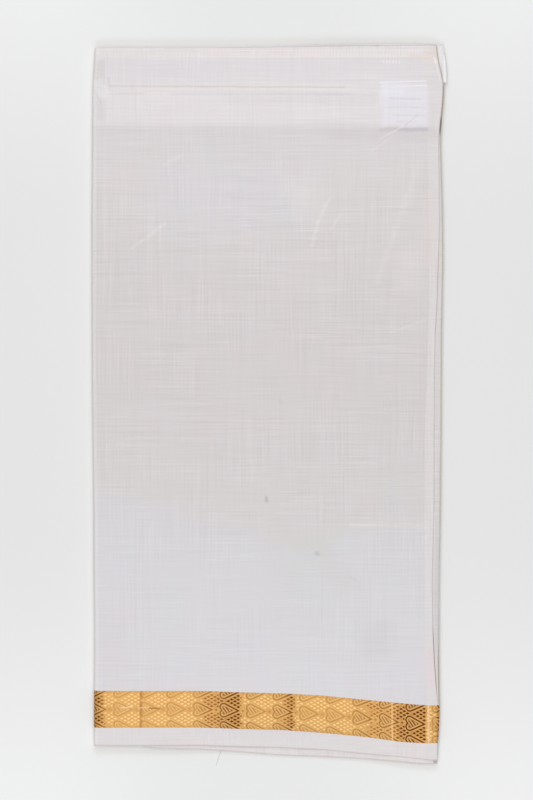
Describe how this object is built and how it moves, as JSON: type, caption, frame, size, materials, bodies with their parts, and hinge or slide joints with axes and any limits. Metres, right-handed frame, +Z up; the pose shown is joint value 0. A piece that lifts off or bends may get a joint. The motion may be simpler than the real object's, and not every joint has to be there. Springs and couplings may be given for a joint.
{
  "type": "folded dhoti cloth",
  "caption": "Long flat packet of a sheer woven cloth with a gold border across its near end, folded into many leaves, with a turned hem down one side.",
  "frame": {"origin": "on the surface the packet lies on, under the middle of its outline", "axes": "+Y along the packet from the selvedge and gold border to the widthwise fold, +X across it from the fold round which the top leaf wraps to the hem, +Z up out of the top leaf"},
  "size_m": [0.309, 0.6268, 0.0092],
  "materials": {
    "sheer_cloth": "sheer off-white silk-cotton, fine uneven weave, soft sheen",
    "zari": "woven gold thread border, diamond lattice with leaf figures",
    "selvedge_cloth": "plain sheer selvedge strip",
    "hem_cloth": "turned hem, doubled cloth with a cream stitch line",
    "hem_zari": "turned hem across the gold border",
    "hem_selvedge_cloth": "turned hem across the selvedge strip",
    "under_cloth": "sheer off-white silk-cotton, in shade",
    "under_zari": "woven gold thread border, in shade",
    "under_selvedge_cloth": "plain sheer selvedge strip",
    "flap_cloth": "turned end strip, doubled and stitched",
    "label_paper": "plain white slip, bare",
    "inner_cloth": "edges of the folded leaves"
  },
  "bodies": {
    "root": {"top_leaf": "sheer_cloth", "top_band": "zari", "top_selvedge": "selvedge_cloth", "hem": "hem_cloth", "hem_band": "hem_zari", "hem_selvedge": "hem_selvedge_cloth", "second_leaf": "under_cloth", "second_band": "under_zari", "second_selvedge": "under_selvedge_cloth", "inner_flap": "flap_cloth", "label": "label_paper", "hidden_layers": "inner_cloth"}
  },
  "joints": []
}
